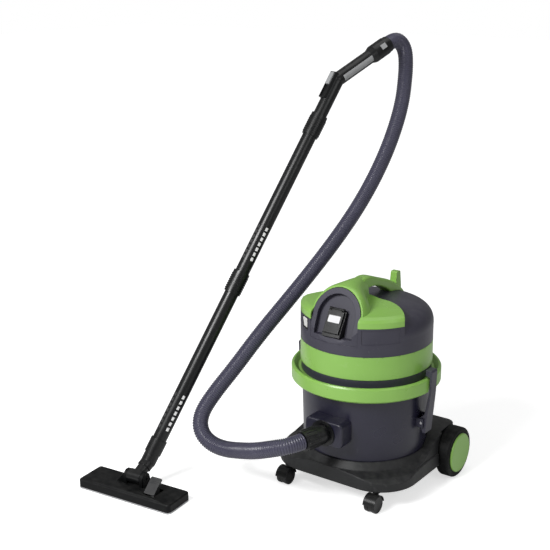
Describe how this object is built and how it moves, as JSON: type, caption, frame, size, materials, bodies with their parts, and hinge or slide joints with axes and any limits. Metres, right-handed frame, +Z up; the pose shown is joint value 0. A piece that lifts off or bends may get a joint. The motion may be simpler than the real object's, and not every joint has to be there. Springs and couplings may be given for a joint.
{
  "type": "wet and dry canister vacuum cleaner",
  "caption": "Canister wet-and-dry vacuum cleaner with a lift-off suction head, wheeled trolley, flexible hose, curved grip, two-piece wand and floor nozzle.",
  "frame": {"origin": "on the floor under the axis of the tank", "axes": "+Z up, the hose inlet and the casters towards -Y, the rear wheels towards +Y, X along the rear axle"},
  "size_m": [0.7471, 0.8962, 1.0678],
  "materials": {
    "green_shell": "smooth satin moulding",
    "dark_shell": "fine grain moulding",
    "tank_shell": "fine grain moulding",
    "black_plastic": "fine grain moulding",
    "tube_plastic": "smooth satin tube",
    "pale_plastic": "smooth satin moulding",
    "white_plastic": "smooth moulding",
    "hose_plastic": "ribbed flexible hose",
    "tyre_rubber": "plain tread",
    "seal_rubber": "soft seal",
    "steel": "bright turned",
    "motor_metal": "die-cast can",
    "filter_paper": "pleated filter medium",
    "brush_bristle": "short bristle strip"
  },
  "bodies": {
    "trolley": {"trolley_base": "black_plastic", "rear_axle": "steel", "tank": "tank_shell", "tank_bosses": "tank_shell", "latch_pins": "steel", "inlet_fitting": "black_plastic", "inlet_deflector": "black_plastic", "hose_tank_cuff": "black_plastic", "hose": "hose_plastic", "hose_grip_cuff": "black_plastic", "grip": "black_plastic", "grip_inlay": "pale_plastic", "upper_tube": "tube_plastic", "upper_tube_cuff": "black_plastic", "lower_tube": "tube_plastic", "lower_tube_cuff": "black_plastic", "nozzle_neck": "black_plastic"},
    "head": {"bumper_rim": "green_shell", "tank_seal": "seal_rubber", "motor_plate": "dark_shell", "head_screws": "steel", "head_band": "dark_shell", "head_ring": "green_shell", "head_cover": "dark_shell", "arch_panel": "dark_shell", "handle_shell": "green_shell", "socket_box": "dark_shell", "socket_insert": "dark_shell", "switch_bezel": "black_plastic", "cable_gland": "black_plastic", "motor_housing": "dark_shell", "motor": "motor_metal", "filter_cage": "black_plastic", "filter": "filter_paper", "filter_clamp": "black_plastic"},
    "float": {"float": "white_plastic"},
    "fan": {"fan": "motor_metal", "motor_shaft": "steel"},
    "socket_flap": {"socket_flap": "black_plastic"},
    "switch_rocker": {"switch_rocker": "white_plastic"},
    "latch_right": {"latch_right": "black_plastic"},
    "latch_left": {"latch_left": "black_plastic"},
    "rear_wheel_right": {"rear_tyre_right": "tyre_rubber", "rear_hub_right": "black_plastic", "rear_cap_right": "green_shell"},
    "rear_wheel_left": {"rear_tyre_left": "tyre_rubber", "rear_hub_left": "black_plastic", "rear_cap_left": "green_shell"},
    "caster_right": {"caster_fork_right": "black_plastic"},
    "caster_left": {"caster_fork_left": "black_plastic"},
    "caster_wheels_right": {"caster_wheels_right": "black_plastic"},
    "caster_wheels_left": {"caster_wheels_left": "black_plastic"},
    "air_slide": {"air_slide": "pale_plastic"},
    "hose_button": {"hose_button": "pale_plastic"},
    "nozzle": {"nozzle_shell": "black_plastic", "nozzle_sole": "steel", "fork_pin": "steel"},
    "brushes": {"brush_strips": "brush_bristle", "brush_carrier": "black_plastic"},
    "pedal": {"pedal": "black_plastic"}
  },
  "joints": [
    {"name": "head_lift", "type": "slide", "parent": "trolley", "child": "head", "axis": [0, 0, 1], "range_m": [0, 0.25]},
    {"name": "float_rise", "type": "slide", "parent": "head", "child": "float", "axis": [0, 0, 1], "range_m": [0, 0.026]},
    {"name": "fan_spin", "type": "hinge", "parent": "head", "child": "fan", "pos_m": [0, 0, 0.332], "axis": [0, 0, 1], "continuous": true},
    {"name": "socket_flap_lift", "type": "hinge", "parent": "head", "child": "socket_flap", "pos_m": [0, -0.13135, 0.4698], "axis": [-1, 0, 0], "range_deg": [0, 100]},
    {"name": "switch_rock", "type": "hinge", "parent": "head", "child": "switch_rocker", "pos_m": [-0.08588, -0.12975, 0.421], "axis": [-0.8339, 0.5519, 0], "range_deg": [0, 14]},
    {"name": "latch_right_swing", "type": "hinge", "parent": "trolley", "child": "latch_right", "pos_m": [0.168, 0, 0.184], "axis": [0, 1, 0], "range_deg": [0, 25]},
    {"name": "latch_left_swing", "type": "hinge", "parent": "trolley", "child": "latch_left", "pos_m": [-0.168, 0, 0.184], "axis": [0, -1, 0], "range_deg": [0, 25]},
    {"name": "rear_wheel_right_roll", "type": "hinge", "parent": "trolley", "child": "rear_wheel_right", "pos_m": [0.19, 0.116, 0.0637], "axis": [1, 0, 0], "continuous": true},
    {"name": "caster_right_swivel", "type": "hinge", "parent": "trolley", "child": "caster_right", "pos_m": [0.1266, -0.1517, 0.05], "axis": [0, 0, 1], "continuous": true},
    {"name": "caster_right_roll", "type": "hinge", "parent": "caster_right", "child": "caster_wheels_right", "pos_m": [0.1266, -0.1657, 0.021], "axis": [1, 0, 0], "continuous": true},
    {"name": "rear_wheel_left_roll", "type": "hinge", "parent": "trolley", "child": "rear_wheel_left", "pos_m": [-0.19, 0.116, 0.0637], "axis": [1, 0, 0], "continuous": true},
    {"name": "caster_left_swivel", "type": "hinge", "parent": "trolley", "child": "caster_left", "pos_m": [-0.1266, -0.1517, 0.05], "axis": [0, 0, 1], "continuous": true},
    {"name": "caster_left_roll", "type": "hinge", "parent": "caster_left", "child": "caster_wheels_left", "pos_m": [-0.1266, -0.1657, 0.021], "axis": [1, 0, 0], "continuous": true},
    {"name": "air_slide_move", "type": "slide", "parent": "trolley", "child": "air_slide", "axis": [-0.1771, -0.5162, -0.838], "range_m": [0, 0.032]},
    {"name": "hose_button_press", "type": "slide", "parent": "trolley", "child": "hose_button", "axis": [-0.7684, 0.4812, -0.422], "range_m": [0, 0.0025], "stiffness_N_per_m": 800, "springref_m": -0.001},
    {"name": "nozzle_pitch", "type": "hinge", "parent": "trolley", "child": "nozzle", "pos_m": [-0.39514, -0.41786, 0.042], "axis": [0.9956, 0.0941, 0], "range_deg": [-30, 35]},
    {"name": "pedal_rock", "type": "hinge", "parent": "nozzle", "child": "pedal", "pos_m": [-0.3316, -0.42592, 0.019], "axis": [-0.9956, -0.0941, 0], "range_deg": [0, 20]},
    {"name": "brush_drop", "type": "slide", "parent": "nozzle", "child": "brushes", "axis": [0, 0, -1], "range_m": [0, 0.00551]}
  ],
  "couplings": [
    {"joint": "brush_drop", "follows": "pedal_rock", "m_per_rad": 0.015756}
  ]
}
